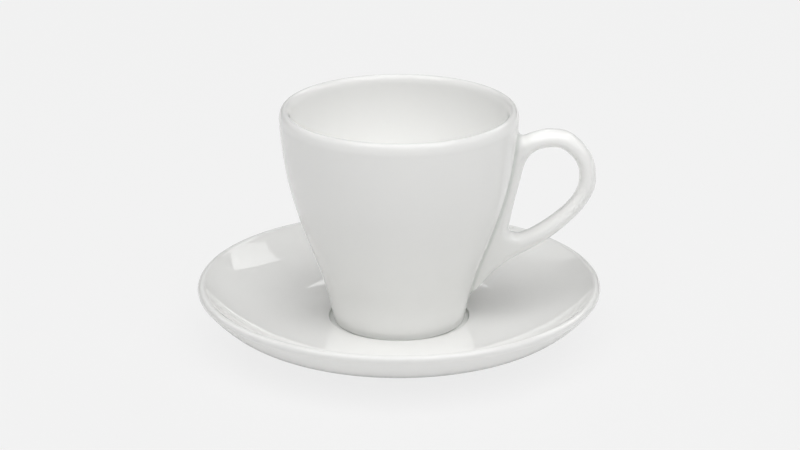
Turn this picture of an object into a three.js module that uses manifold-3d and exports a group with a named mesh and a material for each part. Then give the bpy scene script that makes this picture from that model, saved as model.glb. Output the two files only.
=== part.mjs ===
// A porcelain cup with its saucer, in millimetres with +Z up.
// The table is at z = 0, cup and saucer share the Z axis, and the handle points along +X.

import * as THREE from 'three';
import { mergeVertices } from 'three/addons/utils/BufferGeometryUtils.js';
import Module from 'manifold-3d';

// Cup body
const cupHeight = 82.1; // from the foot to the top of the lip
const cupRimRadius = 43.9; // outside, where the lip starts
const cupFootRadius = 24.37; // outside, where the wall meets the foot
const cupWall = 4.0; // thickness of the wall, and width of the lip
const cupLipRise = 3.8; // height over which the lip is rounded
const cupFloor = 4.6; // thickness of the bottom inside the foot ring
const cupFootRing = 4.2; // width of the ring that the cup stands on
const cupFootRecess = 1.4; // depth of the hollow inside that ring
const cupFootEdge = 1.0; // rounding of the foot's outer edge
const cupInnerCorner = 9.0; // rounding between the inner wall and the floor

// Handle
const handleDrop = 8.3; // from the top of the lip down to the top of the handle
const handleReach = 31.9; // from the wall to the outermost point of the loop
const strapThickness = 6.2; // of the loop, seen from the side
const strapWidth = 9.5; // of the loop, seen from the front
const spineThickness = 3.8; // of the band that lies along the wall
const tailRise = 11.5; // height of the tail's end above the foot
const tailWidth = 4.4; // of the tail's end, seen from the front
const handleSeam = 0.3; // joint line between the handle and the wall

// Saucer
const saucerRadius = 75.0; // outside, at the rim
const saucerHeight = 21.2; // from the table to the top of the rim
const saucerRim = 3.4; // width of the round rim
const saucerFloor = 4.4; // thickness under the well
const saucerFootRadius = 39.5; // outside of the foot ring
const saucerFootRing = 3.6; // width of the foot ring
const saucerFootHeight = 2.0; // from the table to the underside
const wellClearance = 1.83; // between the cup's foot and the side of the well
const wellDepth = 1.2; // from the well's edge down to its floor
const wellEdge = 0.5; // rounding of the well's edge and of its corner
const flankMeetsRim = 130; // degrees round the rim, from straight out, where the inside joins it
const bellyMeetsRim = -40; // the same for the underside

// How finely the round forms are divided
const cupSteps = 48;
const saucerSteps = 60;
const curveSteps = 11;
const edgeSteps = 4;
const rimSteps = 8;
const lipSteps = 10;
const handleStations = 72;
const handleSides = 16;

// Heights and radii that follow from the sizes above
const handleTop = cupHeight - handleDrop;
const wellFloor = saucerFootHeight + saucerFloor;
const wellRadius = cupFootRadius + wellClearance;
const lipStart = cupHeight - cupLipRise;

const point = (x, y) => new THREE.Vector2(x, y);
const planePoint = (x, z) => new THREE.Vector3(x, 0, z);

// Points on a round edge between two directions, in degrees from the radial direction
function arc(centre, radius, from, to, steps, rise = radius) {
  return Array.from({ length: steps + 1 }, (_, i) => {
    const angle = THREE.MathUtils.degToRad(from + ((to - from) * i) / steps);
    return point(centre.x + radius * Math.cos(angle), centre.y + rise * Math.sin(angle));
  });
}

// The outside of the cup: it leaves the foot steeply, swells, and ends upright under the lip
const cupWallCurve = (() => {
  const flare = cupRimRadius - cupFootRadius;
  return new THREE.CubicBezierCurve(
    point(cupFootRadius, 0),
    point(cupFootRadius + 0.2795 * flare, 0.3979 * lipStart),
    point(cupRimRadius - 0.1168 * flare, 0.4949 * lipStart),
    point(cupRimRadius, lipStart),
  );
})();

// Where the wall's curve passes a height, as the curve's own parameter
function wallParameter(height) {
  let low = 0;
  let high = 1;
  for (let i = 0; i < 40; i++) {
    const middle = (low + high) / 2;
    if (cupWallCurve.getPoint(middle).y < height) low = middle;
    else high = middle;
  }
  return (low + high) / 2;
}

const wallRadius = (height) => cupWallCurve.getPoint(wallParameter(height)).x;

// Points of the wall from one height to another, moved out square to the wall by an offset
function wallPoints(fromHeight, toHeight, offset, steps) {
  const from = wallParameter(fromHeight);
  const to = wallParameter(toHeight);
  return Array.from({ length: steps + 1 }, (_, i) => {
    const t = from + ((to - from) * i) / steps;
    const tangent = cupWallCurve.getTangent(t);
    return cupWallCurve.getPoint(t).add(point(tangent.y, -tangent.x).multiplyScalar(offset));
  });
}

// A solid turned about the Z axis from a profile of radius and height
function turned(profile, steps) {
  return new THREE.LatheGeometry(profile, steps).rotateX(Math.PI / 2);
}

function cupBodyGeometry() {
  const floorHeight = cupFootRecess + cupFloor;
  const lipCentre = point(cupRimRadius - cupWall / 2, lipStart);
  const inner = wallPoints(lipStart, floorHeight + cupInnerCorner, -cupWall, curveSteps);
  const innerEnd = inner[inner.length - 1];
  const cornerRadius = wallRadius(floorHeight) - cupWall;
  const innerCorner = new THREE.QuadraticBezierCurve(
    innerEnd,
    point(cornerRadius, floorHeight),
    point(cornerRadius - cupInnerCorner, floorHeight),
  );
  const footCentre = point(wallRadius(cupFootEdge) - cupFootEdge, cupFootEdge);
  const ringInside = footCentre.x + cupFootEdge - cupFootRing;
  const profile = [
    point(0, cupFootRecess),
    point(ringInside - cupFootRecess, cupFootRecess),
    point(ringInside, 0),
    ...arc(footCentre, cupFootEdge, -90, 0, edgeSteps),
    ...wallPoints(cupFootEdge, lipStart, 0, curveSteps).slice(1),
    ...arc(lipCentre, cupWall / 2, 0, 180, lipSteps, cupLipRise).slice(1),
    ...inner.slice(1),
    ...innerCorner.getPoints(edgeSteps).slice(1),
    point(0, floorHeight),
  ];
  return turned(profile, cupSteps);
}

function saucerGeometry() {
  const rim = saucerRim / 2;
  const rimCentre = point(saucerRadius - rim, saucerHeight - rim);
  const edgeHeight = wellFloor + wellDepth;
  const flankStart = point(wellRadius + wellEdge, edgeHeight);
  const rimArc = arc(rimCentre, rim, flankMeetsRim, bellyMeetsRim, rimSteps);
  const rimInside = rimArc[0];
  const rimOutside = rimArc[rimSteps];
  const flankRun = rimInside.x - flankStart.x;
  const flankRise = rimInside.y - flankStart.y;
  const flank = new THREE.CubicBezierCurve(
    flankStart,
    point(flankStart.x + 0.5 * flankRun, flankStart.y + 0.02 * flankRise),
    point(flankStart.x + 0.8 * flankRun, flankStart.y + 0.33 * flankRise),
    rimInside,
  );
  const footTop = point(saucerFootRadius + saucerFootHeight, saucerFootHeight);
  const bellyRun = rimOutside.x - footTop.x;
  const bellyRise = rimOutside.y - footTop.y;
  const belly = new THREE.CubicBezierCurve(
    rimOutside,
    point(footTop.x + 0.695 * bellyRun, footTop.y + 0.3 * bellyRise),
    point(footTop.x + 0.62 * bellyRun, footTop.y + 0.345 * bellyRise),
    footTop,
  );
  const wellCorner = point(wellRadius - wellEdge, wellFloor + wellEdge);
  const wellLip = point(wellRadius + wellEdge, edgeHeight - wellEdge);
  const footInside = saucerFootRadius - saucerFootRing;
  const profile = [
    point(0, wellFloor),
    ...arc(wellCorner, wellEdge, -90, 0, edgeSteps),
    ...arc(wellLip, wellEdge, 180, 90, edgeSteps),
    ...flank.getPoints(curveSteps).slice(1),
    ...rimArc.slice(1),
    ...belly.getPoints(curveSteps).slice(1),
    point(saucerFootRadius, 0),
    point(footInside, 0),
    point(footInside - saucerFootHeight, saucerFootHeight),
    point(0, saucerFootHeight),
  ].reverse();
  return turned(profile, saucerSteps);
}

// A point of the handle's middle plane: out from the wall, and up from the end of the tail
function handlePoint(out, up) {
  const height = tailRise + up * (handleTop - tailRise);
  return planePoint(wallRadius(height) + out, height);
}

// The handle's two edges: the outer edge of the loop and tail, which closes inside the wall, and the
// edge of the finger hole, which keeps the strap's and the spine's thickness
function handleEdges() {
  const inside = -2 * cupWall;
  // Out as a share of the reach, up, and the strap's thickness there as a share
  const loop = [
    [0.152, 0.976, 1.09], [0.358, 1, 1.07], [0.614, 0.975, 1.05], [0.892, 0.834, 1],
    [1, 0.661, 1], [0.944, 0.517, 0.93], [0.72, 0.346, 1.01], [0.498, 0.252, 1.17],
  ];
  const tail = [[0.338, 0.191], [0.203, 0.111], [0.096, 0.019], [0.045, -0.016]];
  const free = [...loop, ...tail].map(([out, up]) => handlePoint(out * handleReach, up));
  const buried = [
    [inside, 0], [inside, 0.35], [inside, 0.63], [inside, 0.86], [inside / 2, 0.95], [-inside / 8, 0.949],
  ].map(([out, up]) => handlePoint(out, up));
  const outer = new THREE.CatmullRomCurve3([...free, ...buried], true);

  const loopHole = loop.map(([, , share], i) => {
    const tangent = outer.getTangent(i / outer.points.length);
    return free[i].clone().addScaledVector(planePoint(tangent.z, -tangent.x), strapThickness * share);
  });
  const spineHole = [[2.25, 0.371], [0.95, 0.446], [0, 0.65], [0.9, 0.816]]
    .map(([extra, up]) => handlePoint(spineThickness + extra, up));
  const hole = new THREE.CatmullRomCurve3([...loopHole, ...spineHole], true);

  // Where the hole is met from a share of the way round the outer edge: point for point along the
  // loop, then the spine against the tail and the buried edge
  const turn = loop.length - 1;
  const behind = (hole.points.length - turn) / (outer.points.length - turn);
  const holeShare = (share) => {
    const along = share * outer.points.length;
    return (along < turn ? along : turn + (along - turn) * behind) / hole.points.length;
  };
  return { outer, hole, holeShare };
}

// The handle before it is fitted to the cup: a closed ring of rounded sections, each one reaching
// from the hole's edge to the outer edge
function handleBlank() {
  const { outer, hole, holeShare } = handleEdges();
  const corners = [];
  for (let station = 0; station < handleStations; station++) {
    const holeEdge = hole.getPoint(holeShare(station / handleStations));
    const outerEdge = outer.getPoint(station / handleStations);
    const middle = holeEdge.clone().lerp(outerEdge, 0.5);
    const across = outerEdge.clone().sub(middle);
    const half = across.length();
    const round = Math.min(half, strapThickness / 2);
    across.normalize();
    for (let side = 0; side < handleSides; side++) {
      const angle = (2 * Math.PI * side) / handleSides;
      const along = Math.sign(Math.cos(angle)) * (half - round) + round * Math.cos(angle);
      const corner = middle.clone().addScaledVector(across, along);
      const taper = THREE.MathUtils.smoothstep(corner.z, tailRise, handleTop / 2);
      corner.y = (Math.sin(angle) * THREE.MathUtils.lerp(tailWidth, strapWidth, taper)) / 2;
      corners.push(corner);
    }
  }
  const triangles = [];
  for (let station = 0; station < handleStations; station++) {
    for (let side = 0; side < handleSides; side++) {
      const nextSide = (side + 1) % handleSides;
      const here = station * handleSides;
      const next = ((station + 1) % handleStations) * handleSides;
      triangles.push(here + side, next + side, here + nextSide);
      triangles.push(here + nextSide, next + side, next + nextSide);
    }
  }
  return new THREE.BufferGeometry().setFromPoints(corners).setIndex(triangles);
}

const wasm = await Module();
wasm.setup();

// A geometry as a closed solid for cutting, with its shared corners merged
function solid(geometry) {
  geometry.deleteAttribute('normal');
  geometry.deleteAttribute('uv');
  const merged = mergeVertices(geometry);
  return new wasm.Manifold(new wasm.Mesh({
    numProp: 3,
    vertProperties: Float32Array.from(merged.attributes.position.array),
    triVerts: Uint32Array.from(merged.index.array),
  }));
}

// The handle, cut back to the joint line along the wall
function cupHandleGeometry() {
  const core = cupFootRadius - 3 * cupWall;
  const wallRing = turned([
    point(core, cupFootEdge),
    ...wallPoints(cupFootEdge, lipStart, handleSeam, curveSteps),
    point(core, lipStart),
    point(core, cupFootEdge),
  ], cupSteps);
  const cut = solid(handleBlank()).subtract(solid(wallRing)).getMesh();
  const geometry = new THREE.BufferGeometry();
  geometry.setAttribute('position', new THREE.BufferAttribute(cut.vertProperties, 3));
  geometry.setIndex(new THREE.BufferAttribute(cut.triVerts, 1));
  geometry.computeVertexNormals();
  return geometry;
}

// A named piece in white glazed porcelain
function porcelain(name, geometry) {
  const glaze = new THREE.MeshStandardMaterial({ color: 0xf1f1ef, roughness: 0.12, metalness: 0 });
  const piece = new THREE.Mesh(geometry, glaze);
  piece.name = name;
  return piece;
}

// The cup stands on the floor of the well
const cup = new THREE.Group();
cup.name = 'cup';
cup.add(porcelain('cup_body', cupBodyGeometry()), porcelain('cup_handle', cupHandleGeometry()));
cup.position.z = wellFloor;

const cupWithSaucer = new THREE.Group();
cupWithSaucer.name = 'cup_with_saucer';
cupWithSaucer.add(porcelain('saucer', saucerGeometry()), cup);

export default cupWithSaucer;
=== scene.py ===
import math

import bmesh
import bpy
import numpy as np
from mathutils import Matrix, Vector


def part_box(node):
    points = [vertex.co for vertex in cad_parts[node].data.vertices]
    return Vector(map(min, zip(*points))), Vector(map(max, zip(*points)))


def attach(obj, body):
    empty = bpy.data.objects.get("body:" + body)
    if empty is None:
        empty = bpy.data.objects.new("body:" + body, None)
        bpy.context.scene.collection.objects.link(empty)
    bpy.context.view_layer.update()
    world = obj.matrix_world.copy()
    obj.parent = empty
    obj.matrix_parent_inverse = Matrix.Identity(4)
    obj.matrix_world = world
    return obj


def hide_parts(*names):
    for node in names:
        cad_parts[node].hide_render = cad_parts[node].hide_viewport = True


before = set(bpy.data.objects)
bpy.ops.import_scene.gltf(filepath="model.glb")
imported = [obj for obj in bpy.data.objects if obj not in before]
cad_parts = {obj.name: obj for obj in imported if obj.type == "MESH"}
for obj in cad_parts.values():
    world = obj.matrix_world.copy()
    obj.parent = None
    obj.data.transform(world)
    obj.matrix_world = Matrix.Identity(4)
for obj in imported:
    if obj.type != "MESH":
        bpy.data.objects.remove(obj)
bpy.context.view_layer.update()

MM = 0.001

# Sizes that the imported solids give
cup_low, cup_high = (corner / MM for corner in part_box("cup_body"))
saucer_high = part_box("saucer")[1] / MM
WELL_FLOOR = cup_low.z
CUP_HEIGHT = cup_high.z - cup_low.z
CUP_RIM_RADIUS = cup_high.x
SAUCER_RADIUS = saucer_high.x
SAUCER_HEIGHT = saucer_high.z

# Cup body
CUP_FOOT_RADIUS = 24.37
CUP_WALL = 4.0
CUP_LIP_RISE = 3.8
CUP_FLOOR = 4.6
CUP_FOOT_RING = 4.2
CUP_FOOT_RECESS = 1.4
CUP_FOOT_EDGE = 1.0
CUP_INNER_CORNER = 9.0

# Handle
HANDLE_TOP = CUP_HEIGHT - 8.3
HANDLE_REACH = 31.9
STRAP_THICKNESS = 6.2
STRAP_WIDTH = 9.5
SPINE_THICKNESS = 3.8
TAIL_RISE = 11.5
TAIL_WIDTH = 4.4
JOINT_FILLET = 1.8
TOP_FILLET = 3.8
TOP_FILLET_START = 0.88
TOP_FILLET_FADE = 0.08
JOINT_DEPTH = 1.2

# Saucer
SAUCER_RIM = 3.4
SAUCER_FOOT_RADIUS = 39.5
SAUCER_FOOT_RING = 3.6
SAUCER_FOOT_HEIGHT = 2.0
WELL_CLEARANCE = 1.83
WELL_DEPTH = 1.2
WELL_EDGE = 0.5
FLANK_MEETS_RIM = 130
BELLY_MEETS_RIM = -40

# How finely the forms are divided
CUP_STEPS = 192
SAUCER_STEPS = 240
STATIONS_PER_SPAN = 20
HANDLE_COLUMNS = 56

# How far the edges under cup and saucer are softened
CUP_RECESS_SOFT = 0.7
CUP_RING_SOFT = 0.4
SAUCER_ROOT_SOFT = 0.8
SAUCER_RING_SOFT = 0.5
SAUCER_RECESS_SOFT = 0.9

# Where green-grey glaze pools with painted shade, and where painted light and painted shade lie on the
# glaze. A bend is 1 over the radius of an edge or a hollow.
FULL_HOLLOW_BEND = 1.5
SOFT_EDGE_BEND = 0.2
SHARP_EDGE_BEND = 0.7
EDGE_SHADE_DEPTH = 2.2
EDGE_SHADE_FADE = 1.2
HANDLE_PAINTED_LIGHT = 0.6
JOINT_POOL_SHADE = 0.9


class Value:
    """An output of a node. Sums on it add Math nodes to its tree."""

    def __init__(self, wiring, socket):
        self.wiring = wiring
        self.socket = socket

    def out(self, name):
        return Value(self.wiring, self.socket.node.outputs[name])

    def math(self, operation, *operands):
        return self.wiring.node("ShaderNodeMath", {"operation": operation}, dict(enumerate(operands)))

    def __add__(self, other):
        return self.math("ADD", self, other)

    def __radd__(self, other):
        return self.math("ADD", other, self)

    def __sub__(self, other):
        return self.math("SUBTRACT", self, other)

    def __rsub__(self, other):
        return self.math("SUBTRACT", other, self)

    def __mul__(self, other):
        return self.math("MULTIPLY", self, other)

    def __rmul__(self, other):
        return self.math("MULTIPLY", other, self)

    def __truediv__(self, other):
        return self.math("DIVIDE", self, other)

    def __rtruediv__(self, other):
        return self.math("DIVIDE", other, self)

    def __pow__(self, other):
        return self.math("POWER", self, other)

    def __lt__(self, other):
        return self.math("LESS_THAN", self, other)

    def __gt__(self, other):
        return self.math("GREATER_THAN", self, other)


class Wiring:
    """The nodes of one material, world or shape."""

    def __init__(self, tree):
        self.tree = tree
        tree.nodes.clear()

    def node(self, kind, settings=None, sockets=None, out=0):
        """Adds a node: its settings first, then the values or links of its sockets."""
        made = self.tree.nodes.new(kind)
        for name, setting in (settings or {}).items():
            setattr(made, name, setting)
        for name, value in (sockets or {}).items():
            socket = made.inputs[name] if isinstance(name, int) else self.named(made, name)
            if isinstance(value, Value):
                self.tree.links.new(value.socket, socket)
            else:
                socket.default_value = value
        return Value(self, made.outputs[out]) if len(made.outputs) else made

    @staticmethod
    def named(made, name):
        return next(socket for socket in made.inputs if socket.enabled and socket.name == name)

    def noise(self, place, scale, detail=2.0, roughness=0.5):
        sockets = {"Vector": place, "Scale": scale, "Detail": detail, "Roughness": roughness}
        return self.node("ShaderNodeTexNoise", {}, sockets)

    def blend(self, share, first, second):
        sockets = {"Factor": share, "A": first, "B": second}
        return self.node("ShaderNodeMix", {"data_type": "RGBA"}, sockets, out="Result")

    def ramp(self, value, low, high):
        """0 below low and 1 above high, with a soft step between."""
        settings = {"interpolation_type": "SMOOTHSTEP"}
        return self.node("ShaderNodeMapRange", settings, {"Value": value, "From Min": low, "From Max": high})


def colour(red, green, blue):
    return (red, green, blue, 1.0)


# Finishes

def new_material(name):
    material = bpy.data.materials.new(name)
    material.use_nodes = True
    return material, Wiring(material.node_tree)


def white_glaze():
    """Clear glossy glaze on white porcelain: painted light inside the cup and on the handle, pooling with
    painted shade in hollows, painted shade on sharp top edges.
    """
    material, wiring = new_material("white_glaze")
    place = wiring.node("ShaderNodeTexCoord", {}, {}, out="Object")
    pooled_shade, painted_light, edge_shade = (
        wiring.node("ShaderNodeAttribute", {"attribute_name": name}, {}, out="Fac")
        for name in ("pooled_shade", "painted_light", "edge_shade")
    )
    cloud = wiring.noise(place, 28.0, 3.0)
    ripple = wiring.noise(place, 130.0, 1.0)
    fine = wiring.noise(place, 2600.0, 2.0)
    body = wiring.blend(cloud, colour(0.897, 0.897, 0.882), colour(0.913, 0.913, 0.899))
    # Painted light: the inside of the cup and the handle are made brighter than the rest of the glaze.
    lit_brighter = wiring.blend(painted_light, body, colour(0.955, 0.955, 0.942))
    # Painted shade: sharp edges near the top of each piece are darker.
    edge_shaded = wiring.blend(edge_shade, lit_brighter, colour(0.81, 0.81, 0.797))
    # Green-grey glaze pooled in hollows and at the handle's joint, also darkened there as painted shade.
    pool_shaded = wiring.blend(pooled_shade * 0.6, edge_shaded, colour(0.56, 0.605, 0.565))
    rough = 0.018 + cloud * 0.02 + (fine - 0.5) * 0.008
    height = ripple * 0.000006 + fine * 0.0000002
    bump = wiring.node("ShaderNodeBump", {}, {"Strength": 1.0, "Distance": 1.0, "Height": height})
    shader = wiring.node("ShaderNodeBsdfPrincipled", {}, {
        "Base Color": pool_shaded, "Roughness": rough, "IOR": 1.44, "Normal": bump,
    })
    wiring.node("ShaderNodeOutputMaterial", {}, {"Surface": shader})
    return material


def bare_biscuit():
    """Fired clay without glaze, wiped clean on the faces that the pieces stand on."""
    material, wiring = new_material("bare_biscuit")
    place = wiring.node("ShaderNodeTexCoord", {}, {}, out="Object")
    grain = wiring.noise(place, 1500.0, 4.0, 0.65)
    smudge = wiring.noise(place, 90.0, 3.0)
    worn = wiring.ramp(smudge, 0.55, 0.75)
    body = wiring.blend(grain, colour(0.70, 0.67, 0.62), colour(0.78, 0.755, 0.71))
    soiled = wiring.blend(worn * 0.35, body, colour(0.50, 0.475, 0.43))
    bump = wiring.node("ShaderNodeBump", {}, {"Strength": 0.5, "Distance": 0.00005, "Height": grain})
    shader = wiring.node("ShaderNodeBsdfPrincipled", {}, {
        "Base Color": soiled, "Roughness": 0.62 + grain * 0.2, "IOR": 1.45, "Normal": bump,
    })
    wiring.node("ShaderNodeOutputMaterial", {}, {"Surface": shader})
    return material


GLAZE = white_glaze()
BISCUIT = bare_biscuit()


# Curves in one plane

def bezier(corners, steps):
    share = np.linspace(0, 1, steps + 1)[:, None]
    layers = [np.tile(corner, (steps + 1, 1)) for corner in np.asarray(corners, float)]
    while len(layers) > 1:
        layers = [one * (1 - share) + two * share for one, two in zip(layers, layers[1:])]
    return layers[0]


def arc(centre, radius, start, end, steps, rise=None):
    """A round edge between two directions in degrees, or an oval one with its own rise."""
    angle = np.radians(np.linspace(start, end, steps + 1))
    across = centre[0] + radius * np.cos(angle)
    return np.column_stack([across, centre[1] + (rise or radius) * np.sin(angle)])


def softened(before, corner, after, reach, steps=5):
    """A corner between two straight runs, rounded over a short reach along each."""
    before, corner, after = (np.asarray(spot, float) for spot in (before, corner, after))
    start = corner + reach * (before - corner) / np.linalg.norm(before - corner)
    end = corner + reach * (after - corner) / np.linalg.norm(after - corner)
    return bezier([start, corner, end], steps)


# The outside of the cup: it leaves the foot steeply, swells, and ends upright under the lip
LIP_START = CUP_HEIGHT - CUP_LIP_RISE
WALL_FLARE = CUP_RIM_RADIUS - CUP_FOOT_RADIUS
WALL = bezier([
    (CUP_FOOT_RADIUS, 0),
    (CUP_FOOT_RADIUS + 0.2795 * WALL_FLARE, 0.3979 * LIP_START),
    (CUP_RIM_RADIUS - 0.1168 * WALL_FLARE, 0.4949 * LIP_START),
    (CUP_RIM_RADIUS, LIP_START),
], 600)
WALL_LEAN = np.gradient(WALL[:, 0], WALL[:, 1])


def wall_radius(height):
    return np.interp(height, WALL[:, 1], WALL[:, 0])


def wall_lean(height):
    """How much the wall's radius grows for each millimetre of height."""
    return np.interp(height, WALL[:, 1], WALL_LEAN)


def wall_points(start, end, offset, steps):
    """Points of the wall between two heights, moved out square to the wall."""
    height = np.linspace(start, end, steps + 1)
    lean = wall_lean(height)
    square = np.column_stack([np.ones_like(lean), -lean]) / np.sqrt(1 + lean ** 2)[:, None]
    return np.column_stack([wall_radius(height), height]) + offset * square


def cup_profile():
    floor = CUP_FOOT_RECESS + CUP_FLOOR
    half = CUP_WALL / 2
    lean = math.degrees(math.atan(wall_lean(LIP_START) * CUP_LIP_RISE / half))
    foot_centre = (wall_radius(CUP_FOOT_EDGE) - CUP_FOOT_EDGE, CUP_FOOT_EDGE)
    ring_inside = foot_centre[0] + CUP_FOOT_EDGE - CUP_FOOT_RING
    axis = (0, CUP_FOOT_RECESS)
    recess = (ring_inside - CUP_FOOT_RECESS, CUP_FOOT_RECESS)
    ring = (ring_inside, 0)
    inner = wall_points(LIP_START, floor + CUP_INNER_CORNER, -CUP_WALL, 44)
    run = inner[-1] - inner[-2]
    corner = inner[-1] + run * (floor - inner[-1][1]) / run[1]
    return np.vstack([
        [axis],
        softened(axis, recess, ring, CUP_RECESS_SOFT),
        softened(recess, ring, foot_centre, CUP_RING_SOFT),
        arc(foot_centre, CUP_FOOT_EDGE, -90, 0, 8),
        wall_points(CUP_FOOT_EDGE, LIP_START - 0.6, 0, 60)[1:],
        arc((CUP_RIM_RADIUS - half, LIP_START), half, -lean, 180 - lean, 28, CUP_LIP_RISE),
        inner[1:],
        bezier([inner[-1], corner, (corner[0] - CUP_INNER_CORNER, floor)], 16)[1:],
        [(0, floor)],
    ]) + (0, WELL_FLOOR)


def saucer_profile():
    rim = SAUCER_RIM / 2
    well = CUP_FOOT_RADIUS + WELL_CLEARANCE
    edge = WELL_FLOOR + WELL_DEPTH
    rim_arc = arc((SAUCER_RADIUS - rim, SAUCER_HEIGHT - rim), rim, FLANK_MEETS_RIM, BELLY_MEETS_RIM, 22)
    flank_start = np.array((well + WELL_EDGE, edge))
    flank = rim_arc[0] - flank_start
    foot_top = np.array((SAUCER_FOOT_RADIUS + SAUCER_FOOT_HEIGHT, SAUCER_FOOT_HEIGHT))
    belly = rim_arc[-1] - foot_top
    ring_outside = (SAUCER_FOOT_RADIUS, 0)
    ring_inside = (SAUCER_FOOT_RADIUS - SAUCER_FOOT_RING, 0)
    underside = (ring_inside[0] - SAUCER_FOOT_HEIGHT, SAUCER_FOOT_HEIGHT)
    axis = (0, SAUCER_FOOT_HEIGHT)
    belly_curve = bezier([
        rim_arc[-1], foot_top + belly * (0.695, 0.3), foot_top + belly * (0.62, 0.345), foot_top,
    ], 48)
    return np.vstack([
        [(0, WELL_FLOOR)],
        arc((well - WELL_EDGE, WELL_FLOOR + WELL_EDGE), WELL_EDGE, -90, 0, 7),
        arc((well + WELL_EDGE, edge - WELL_EDGE), WELL_EDGE, 180, 90, 7),
        bezier([
            flank_start, flank_start + flank * (0.5, 0.02), flank_start + flank * (0.8, 0.33), rim_arc[0],
        ], 56)[1:],
        rim_arc[1:],
        belly_curve[1:-2],
        softened(belly_curve[-3], foot_top, ring_outside, SAUCER_ROOT_SOFT),
        softened(foot_top, ring_outside, ring_inside, SAUCER_RING_SOFT),
        softened(ring_outside, ring_inside, underside, SAUCER_RING_SOFT),
        softened(ring_inside, underside, axis, SAUCER_RECESS_SOFT),
        [axis],
    ])


# Turned forms: a profile carried round the axis by geometry nodes

def add_socket(tree, name, kind, direction="INPUT"):
    return tree.interface.new_socket(name=name, in_out=direction, socket_type=kind).identifier


def wheel():
    """The tree that turns a profile of radius and height about the Z axis."""
    tree = bpy.data.node_groups.new("wheel", "GeometryNodeTree")
    add_socket(tree, "Geometry", "NodeSocketGeometry")
    names = {
        "Steps around": add_socket(tree, "Steps around", "NodeSocketInt"),
        "Standing height": add_socket(tree, "Standing height", "NodeSocketFloat"),
        "Glaze": add_socket(tree, "Glaze", "NodeSocketMaterial"),
        "Bare clay": add_socket(tree, "Bare clay", "NodeSocketMaterial"),
    }
    add_socket(tree, "Geometry", "NodeSocketGeometry", "OUTPUT")
    wiring = Wiring(tree)
    given = wiring.node("NodeGroupInput")
    profile = given.out("Geometry")
    steps = given.out("Steps around")
    count = wiring.node("GeometryNodeAttributeDomainSize", {"component": "MESH"}, {"Geometry": profile})
    grid = wiring.node("GeometryNodeMeshGrid", {}, {"Vertices X": steps + 1, "Vertices Y": count})
    index = wiring.node("GeometryNodeInputIndex")
    turn = ((index + 0.5) / count).math("FLOOR", (index + 0.5) / count)
    column = index - turn * count
    angle = turn * (2 * math.pi) / steps
    spot = wiring.node("GeometryNodeSampleIndex", {"data_type": "FLOAT_VECTOR"}, {
        "Geometry": profile, "Value": wiring.node("GeometryNodeInputPosition"), "Index": column,
    })
    parts = wiring.node("ShaderNodeSeparateXYZ", {}, {"Vector": spot})
    place = wiring.node("ShaderNodeCombineXYZ", {}, {
        "X": parts.out("X") * angle.math("COSINE", angle),
        "Y": parts.out("X") * angle.math("SINE", angle),
        "Z": parts.out("Z"),
    })
    kept = grid
    # Carries the painted-light, pooled-shade and painted edge-shade shares from the profile to the turned
    # mesh.
    for name in ("pooled_shade", "painted_light", "edge_shade"):
        value = wiring.node("GeometryNodeInputNamedAttribute", {"data_type": "FLOAT"}, {"Name": name})
        value = wiring.node("GeometryNodeSampleIndex", {"data_type": "FLOAT"}, {
            "Geometry": profile, "Index": column, "Value": value,
        })
        kept = wiring.node("GeometryNodeStoreNamedAttribute", {"data_type": "FLOAT"}, {
            "Geometry": kept, "Name": name, "Value": value,
        })
    moved = wiring.node("GeometryNodeSetPosition", {}, {"Geometry": kept, "Position": place})
    closed = wiring.node("GeometryNodeMergeByDistance", {}, {"Geometry": moved, "Distance": 1e-7})
    smooth = wiring.node("GeometryNodeSetShadeSmooth", {}, {"Geometry": closed})
    real = wiring.node("GeometryNodeRealizeInstances", {}, {"Geometry": smooth})
    glazed = wiring.node("GeometryNodeSetMaterial", {}, {"Geometry": real, "Material": given.out("Glaze")})
    centre = wiring.node("GeometryNodeInputPosition")
    height = wiring.node("ShaderNodeSeparateXYZ", {}, {"Vector": centre}).out("Z")
    wiped = wiring.node("GeometryNodeSetMaterial", {}, {
        "Geometry": glazed, "Selection": height < given.out("Standing height"),
        "Material": given.out("Bare clay"),
    })
    wiring.node("NodeGroupOutput", {}, {"Geometry": wiped})
    return tree, names


WHEEL, WHEEL_INPUTS = wheel()


def bending(profile):
    """How sharply a profile turns at each point, as 1 over its radius: below 0 in hollows."""
    before = profile - np.roll(profile, 1, 0)
    after = np.roll(profile, -1, 0) - profile
    turn = before[:, 0] * after[:, 1] - before[:, 1] * after[:, 0]
    lengths = np.linalg.norm(before, axis=1), np.linalg.norm(after, axis=1)
    reach = lengths[0] * lengths[1] * (lengths[0] + lengths[1]) / 2
    bend = turn / np.maximum(reach, 1e-9)
    bend[[0, -1]] = 0
    return bend


def spread(values):
    return np.convolve(np.pad(values, 2, "edge"), (0.1, 0.2, 0.4, 0.2, 0.1), "valid")


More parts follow.
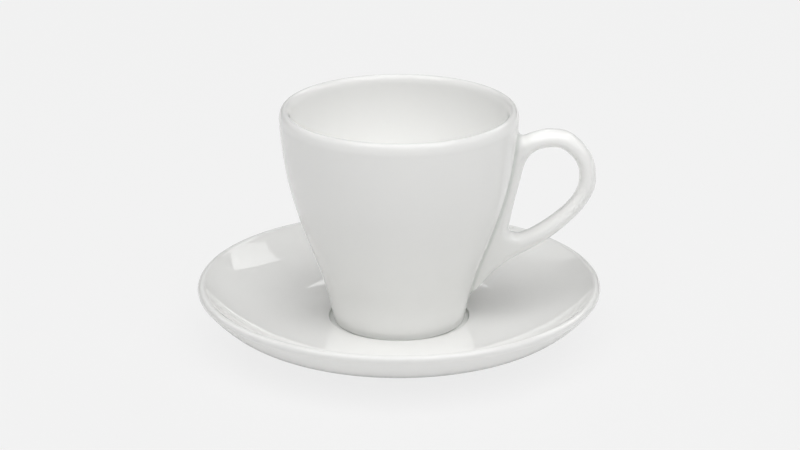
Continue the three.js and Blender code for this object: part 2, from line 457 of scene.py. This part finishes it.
def turned(name, run, painted_light, steps, standing):
    """A piece turned from its profile, which runs up the outside and back down the inside."""
    line = bpy.data.meshes.new(name + "_profile")
    corners = [(radius * MM, 0, height * MM) for radius, height in run]
    line.from_pydata(corners, [(i, i + 1) for i in range(len(corners) - 1)], [])
    bend = bending(run)
    # Glaze pooled in hollows, which also carries painted shade.
    pooled_shade = spread(np.clip(-bend / FULL_HOLLOW_BEND, 0, 1))
    # Painted shade on sharp edges, only within the top few millimetres of each piece.
    near_top = np.clip((run[:, 1] - run[:, 1].max() + EDGE_SHADE_DEPTH) / EDGE_SHADE_FADE, 0, 1)
    sharp = (bend - SOFT_EDGE_BEND) / (SHARP_EDGE_BEND - SOFT_EDGE_BEND)
    edge_shade = near_top * spread(np.clip(sharp, 0, 1))
    for attribute, values in (("pooled_shade", pooled_shade), ("painted_light", painted_light), ("edge_shade", edge_shade)):
        line.attributes.new(attribute, "FLOAT", "POINT").data.foreach_set("value", values)
    blank = bpy.data.objects.new(name + "_blank", line)
    bpy.context.collection.objects.link(blank)
    modifier = blank.modifiers.new("wheel", "NODES")
    modifier.node_group = WHEEL
    modifier[WHEEL_INPUTS["Steps around"]] = steps
    modifier[WHEEL_INPUTS["Standing height"]] = standing * MM
    modifier[WHEEL_INPUTS["Glaze"]] = GLAZE
    modifier[WHEEL_INPUTS["Bare clay"]] = BISCUIT
    ready = blank.evaluated_get(bpy.context.evaluated_depsgraph_get())
    mesh = bpy.data.meshes.new_from_object(ready)
    bpy.data.objects.remove(blank)
    return finished(name, mesh)


def finished(name, mesh):
    """A piece from its mesh, with doubles merged and faces turned outwards."""
    work = bmesh.new()
    work.from_mesh(mesh)
    bmesh.ops.remove_doubles(work, verts=work.verts, dist=1e-7)
    bmesh.ops.recalc_face_normals(work, faces=work.faces)
    for face in work.faces:
        face.smooth = True
    work.to_mesh(mesh)
    work.free()
    mesh.name = name
    piece = bpy.data.objects.new(name, mesh)
    bpy.context.collection.objects.link(piece)
    return piece


# The handle

def through(points, marks):
    """A closed smooth curve through points: its spots and headings at marks, counted in points."""
    points = np.asarray(points, float)
    span = np.floor(marks).astype(int)
    share = (marks - span)[:, None]
    before, start, end, after = (points[(span + shift) % len(points)] for shift in (-1, 0, 1, 2))
    gap_one, gap_two, gap_three = (
        np.sqrt(np.linalg.norm(two - one, axis=1))[:, None]
        for one, two in ((before, start), (start, end), (end, after))
    )
    straight = end - start
    leave = (start - before) / gap_one - (end - before) / (gap_one + gap_two)
    leave = leave * gap_two + straight
    reach = (after - end) / gap_three - (after - start) / (gap_two + gap_three)
    reach = reach * gap_two + straight
    bend = leave + reach - 2 * straight
    ease = 3 * straight - 2 * leave - reach
    spots = start + share * (leave + share * (ease + share * bend))
    headings = leave + share * (2 * ease + share * 3 * bend)
    return spots, headings / np.linalg.norm(headings, axis=1)[:, None]


def handle_point(out, up):
    """A point of the handle's middle plane: out from the wall, and up from the end of the tail."""
    height = TAIL_RISE + up * (HANDLE_TOP - TAIL_RISE)
    return wall_radius(height) + out, height


def handle_edges():
    """The handle's outer edge, which closes inside the wall, and the edge of its finger hole."""
    inside = -2 * CUP_WALL
    # Out as a share of the reach, up, and the strap's thickness there as a share
    loop = [
        (0.152, 0.976, 1.09), (0.358, 1, 1.07), (0.614, 0.975, 1.05), (0.892, 0.834, 1),
        (1, 0.661, 1), (0.944, 0.517, 0.93), (0.72, 0.346, 1.01), (0.498, 0.252, 1.17),
    ]
    tail = [(0.338, 0.191), (0.203, 0.111), (0.096, 0.019), (0.045, -0.016)]
    buried = [
        (inside, 0), (inside, 0.35), (inside, 0.63), (inside, 0.86), (inside / 2, 0.95),
        (-inside / 8, 0.949),
    ]
    outer_points = [handle_point(out * HANDLE_REACH, up) for out, up, *_ in loop + tail]
    outer_points += [handle_point(out, up) for out, up in buried]
    marks = np.arange(0, len(outer_points), 1 / STATIONS_PER_SPAN)
    outer, headings = through(outer_points, marks)
    hole_points = []
    for number, (_, _, share) in enumerate(loop):
        heading = headings[number * STATIONS_PER_SPAN]
        depth = STRAP_THICKNESS * share
        hole_points.append(np.array(outer_points[number]) + depth * np.array((heading[1], -heading[0])))
    hole_points += [handle_point(SPINE_THICKNESS + extra, up) for extra, up in (
        (2.25, 0.371), (0.95, 0.446), (0, 0.65), (0.9, 0.816),
    )]
    # Point for point along the loop, then the spine against the tail and the buried edge
    turn = len(loop) - 1
    behind = (len(hole_points) - turn) / (len(outer_points) - turn)
    hole_marks = np.where(marks < turn, marks, turn + (marks - turn) * behind)
    return outer, through(hole_points, hole_marks)[0]


def nearest_on(outline, spots):
    """For each spot, the nearest point of a closed outline."""
    found = np.empty_like(spots)
    ends = np.roll(outline, -1, 0)
    for low in range(0, len(spots), 1500):
        part = spots[low:low + 1500]
        close = ((part[:, None] - outline[None]) ** 2).sum(2).argmin(1)
        best = np.full(len(part), np.inf)
        for segment in (close, close - 1):
            start, along = outline[segment], ends[segment] - outline[segment]
            share = ((part - start) * along).sum(1) / np.maximum((along ** 2).sum(1), 1e-12)
            touch = start + np.clip(share, 0, 1)[:, None] * along
            gap = ((part - touch) ** 2).sum(1)
            nearer = gap < best
            found[low:low + 1500][nearer] = touch[nearer]
            best[nearer] = gap[nearer]
    return found


def handle_half_width(height):
    """Half the handle's width, which tapers along the tail."""
    share = np.clip((height - TAIL_RISE) / (HANDLE_TOP / 2 - TAIL_RISE), 0, 1)
    return (TAIL_WIDTH + (STRAP_WIDTH - TAIL_WIDTH) * share ** 2 * (3 - 2 * share)) / 2


def wall_gap(spots):
    """How far spots are out from the cup's wall, and the wall's own direction there."""
    radius = np.hypot(spots[:, 0], spots[:, 1])
    lean = wall_lean(spots[:, 2])
    steep = 1 / np.sqrt(1 + lean ** 2)
    square = np.column_stack([steep * spots[:, 0] / radius, steep * spots[:, 1] / radius, -lean * steep])
    return (radius - wall_radius(spots[:, 2])) * steep, square


def handle_sheet():
    """One side of the handle, as rows from the hole's edge to the outer edge or into the wall."""
    outer, hole = handle_edges()
    share = np.linspace(0, 1, 801)
    ends = []
    for start, end in zip(hole, outer):
        line = start + share[:, None] * (end - start)
        deep = wall_gap(np.column_stack([line[:, 0], 0 * share, line[:, 1]]))[0] < -JOINT_DEPTH
        ends.append(line[deep.argmax()] if deep.any() else end)
    column = (1 - np.cos(np.linspace(0, math.pi, HANDLE_COLUMNS + 1))) / 2
    flat = (hole[:, None] + column[None, :, None] * (np.array(ends) - hole)[:, None]).reshape(-1, 2)
    touches = [nearest_on(outline, flat) for outline in (hole, outer)]
    gaps = [np.linalg.norm(touch - flat, axis=1) for touch in touches]
    touch = np.where((gaps[0] < gaps[1])[:, None], touches[0], touches[1])
    gap = np.minimum(*gaps)
    outward = (touch - flat) / np.maximum(gap, 1e-9)[:, None]
    rows = (len(hole), HANDLE_COLUMNS + 1)
    outward.reshape(*rows, 2)[:, 0] = outward.reshape(*rows, 2)[:, 1]
    bare_end = gap.reshape(rows)[:, -1] < 1e-6
    outward.reshape(*rows, 2)[bare_end, -1] = outward.reshape(*rows, 2)[bare_end, -2]
    width = handle_half_width(flat[:, 1])
    rounding = STRAP_THICKNESS / 2
    edge = 1 - np.clip(gap / rounding, 0, 1)
    bulge = np.sqrt(np.clip(1 - edge ** 2, 0, 1))
    spots = np.column_stack([flat[:, 0], -width * bulge, flat[:, 1]])
    facing = np.column_stack([
        outward[:, 0] * edge / rounding, -bulge / width, outward[:, 1] * edge / rounding,
    ])
    facing /= np.linalg.norm(facing, axis=1)[:, None]
    out, square = wall_gap(spots)
    rise = np.clip((spots[:, 2] / HANDLE_TOP - TOP_FILLET_START) / TOP_FILLET_FADE, 0, 1)
    fillet = JOINT_FILLET + (TOP_FILLET - JOINT_FILLET) * rise ** 2 * (3 - 2 * rise)
    near = fillet - np.clip(out, 0, fillet)
    flare = fillet - np.sqrt(fillet ** 2 - near ** 2)
    along_wall = facing - (facing * square).sum(1)[:, None] * square
    spots = spots + flare[:, None] * along_wall
    spots[np.abs(spots[:, 1]) < 1e-6, 1] = 0
    # Glaze pooled at the joint with the wall, darkened there as painted shade.
    pooled_shade = np.exp(-(np.clip(out, 0, None) / JOINT_POOL_SHADE) ** 2)
    return spots, pooled_shade, rows


def handle():
    spots, pooled_shade, (stations, columns) = handle_sheet()
    spots = spots + (0, 0, WELL_FLOOR)
    back = spots * (1, -1, 1)
    total = len(spots)
    faces = []
    for station in range(stations):
        here, after = station * columns, (station + 1) % stations * columns
        for column in range(columns - 1):
            quad = (here + column, after + column, after + column + 1, here + column + 1)
            faces.append(quad)
            faces.append(tuple(total + corner for corner in reversed(quad)))
        one, two = here + columns - 1, after + columns - 1
        if spots[one, 1] < -1e-6 or spots[two, 1] < -1e-6:
            faces.append((one, two, total + two, total + one))
    mesh = bpy.data.meshes.new("cup_handle_glazed")
    mesh.from_pydata((np.vstack([spots, back]) * MM).tolist(), [], faces)
    # Painted shade along the joint with the wall, and painted light over the whole handle.
    for attribute, values in (("pooled_shade", pooled_shade), ("painted_light", np.full(total, HANDLE_PAINTED_LIGHT))):
        mesh.attributes.new(attribute, "FLOAT", "POINT").data.foreach_set("value", np.tile(values, 2))
    mesh.materials.append(GLAZE)
    return finished("cup_handle_glazed", mesh)


cup_run = cup_profile()
# Painted light: a share from 0 on the outer wall to 1 on the inner wall that brightens the cup's inside. The
# foot and the lower outside get none.
inside = np.clip((wall_radius(cup_run[:, 1] - WELL_FLOOR) - cup_run[:, 0]) / CUP_WALL, 0, 1)
inside[:len(cup_run) // 3] = 0
cup_body = turned("cup_body_glazed", cup_run, inside, CUP_STEPS, WELL_FLOOR + 0.05)
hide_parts("cup_body")
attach(cup_body, "cup")

cup_handle = handle()
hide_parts("cup_handle")
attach(cup_handle, "cup")

saucer_run = saucer_profile()[::-1]
saucer = turned("saucer_glazed", saucer_run, 0 * saucer_run[:, 0], SAUCER_STEPS, 0.05)
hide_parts("saucer")
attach(saucer, "saucer")


# Floor, light and camera

PALE = colour(0.888, 0.888, 0.888)
SEEN_SHARE = 0.92
MIRRORED_SHARE = 0.3
FLOOR_HALF = 6.0
FLOOR_DROP = 0.0001
LAMP_DISTANCE = 2.4
LAMP_AIM = Vector((0, 0, 0.045))
CAMERA_AIM = Vector((0.00036, 0, 0.04292))
CAMERA_DISTANCE = 1.0
CAMERA_TILT = math.radians(20.12)


def pale_floor():
    """A pale table: mostly its own even tone where it is seen, mostly lit where it is mirrored."""
    material, wiring = new_material("pale_floor")
    path = wiring.node("ShaderNodeLightPath")
    seen = path.out("Is Camera Ray")
    for ray in ("Is Glossy Ray", "Is Transmission Ray"):
        seen = seen.math("MAXIMUM", seen, path.out(ray) * MIRRORED_SHARE)
    lit = wiring.node("ShaderNodeBsdfDiffuse", {}, {"Color": PALE})
    plain = wiring.node("ShaderNodeEmission", {}, {"Color": PALE, "Strength": 1.0})
    mixed = wiring.node("ShaderNodeMixShader", {}, {"Fac": seen * SEEN_SHARE, 1: lit, 2: plain})
    wiring.node("ShaderNodeOutputMaterial", {}, {"Surface": mixed})
    mesh = bpy.data.meshes.new("floor")
    signs = [(-1, -1), (1, -1), (1, 1), (-1, 1)]
    corners = [(x * FLOOR_HALF, y * FLOOR_HALF, -FLOOR_DROP) for x, y in signs]
    mesh.from_pydata(corners, [], [(0, 1, 2, 3)])
    mesh.materials.append(material)
    floor = bpy.data.objects.new("floor", mesh)
    bpy.context.collection.objects.link(floor)


def dim_room(strength):
    world = bpy.data.worlds.new("studio")
    bpy.context.scene.world = world
    world.use_nodes = True
    wiring = Wiring(world.node_tree)
    room = wiring.node("ShaderNodeBackground", {}, {"Color": colour(1, 1, 1), "Strength": strength})
    wiring.node("ShaderNodeOutputWorld", {}, {"Surface": room})


def softbox(name, turn, lift, width, depth, power):
    """A soft lamp that faces the cup, turned from the viewer's side towards the handle and lifted."""
    turn, lift = math.radians(turn), math.radians(lift)
    away = Vector((math.sin(turn) * math.cos(lift), -math.cos(turn) * math.cos(lift), math.sin(lift)))
    lamp = bpy.data.lights.new(name, "AREA")
    lamp.shape = "RECTANGLE"
    lamp.size = width
    lamp.size_y = depth
    lamp.energy = power
    box = bpy.data.objects.new(name, lamp)
    box.location = LAMP_AIM + LAMP_DISTANCE * away
    box.rotation_euler = away.to_track_quat("Z", "Y").to_euler()
    bpy.context.collection.objects.link(box)


def photo_camera():
    lens = bpy.data.cameras.new("camera")
    lens.lens = 121.5
    lens.sensor_width = 36.0
    viewer = bpy.data.objects.new("camera", lens)
    away = Vector((0, -math.cos(CAMERA_TILT), math.sin(CAMERA_TILT)))
    viewer.location = CAMERA_AIM + CAMERA_DISTANCE * away
    viewer.rotation_euler = (math.pi / 2 - CAMERA_TILT, 0, 0)
    bpy.context.collection.objects.link(viewer)
    bpy.context.scene.camera = viewer


pale_floor()
dim_room(0.015)
# Each lamp: its turn and lift in degrees, width and depth in metres, and power in watts
softbox("above", 0, 66, 3.9, 2.5, 64.21)
softbox("top", 0, 86, 2.4, 1.6, 13.54)
softbox("front_right", 45, 44, 1.4, 1.0, 2.92)
softbox("right", 92, 30, 2.4, 0.8, 4.0)
softbox("left", 240, 40, 1.6, 1.2, 5.01)
softbox("window", 138, 38, 0.92, 0.76, 5.43)
softbox("behind", 180, 36.5, 0.2, 0.68, 0.9)
photo_camera()
bpy.context.scene.view_settings.view_transform = "Standard"
